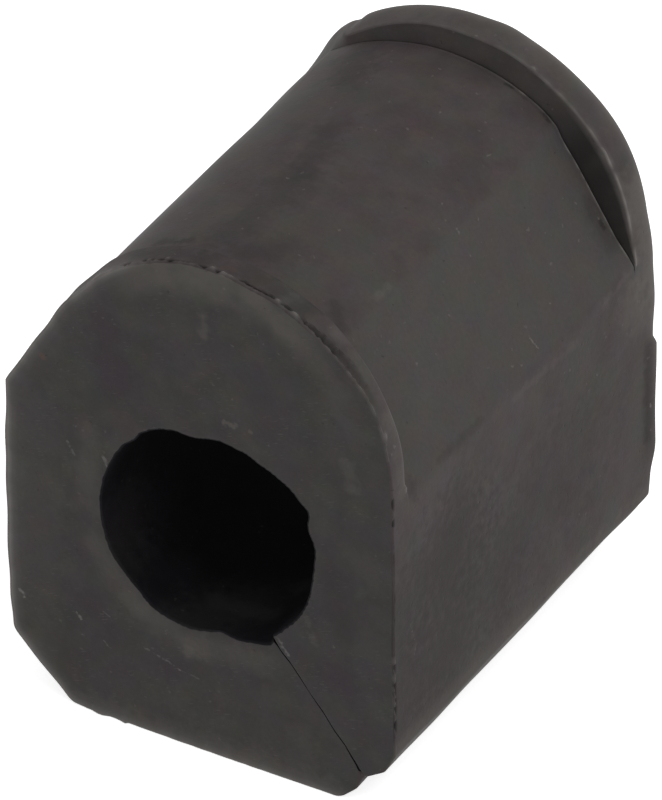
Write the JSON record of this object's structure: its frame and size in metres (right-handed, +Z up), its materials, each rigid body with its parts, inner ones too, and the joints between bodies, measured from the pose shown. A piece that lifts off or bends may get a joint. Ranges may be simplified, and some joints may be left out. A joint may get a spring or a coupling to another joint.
{
  "type": "sway bar bushing",
  "caption": "Split rubber block with a round bore for a sway bar, flat base, sloping shoulders and an arched strap saddle between raised end rims.",
  "frame": {"origin": "on the bore's axis, halfway between the two ends", "axes": "+Y along the bore towards the rear end, +Z up from the flat base to the arched saddle, +X to the right side, where the rims are high and the slit comes out below"},
  "size_m": [0.0405, 0.046, 0.0534],
  "materials": {
    "rubber": "matte black moulded rubber with fine trim marks and a dusting of pale specks"
  },
  "bodies": {
    "root": {"bushing": "rubber"}
  },
  "joints": []
}
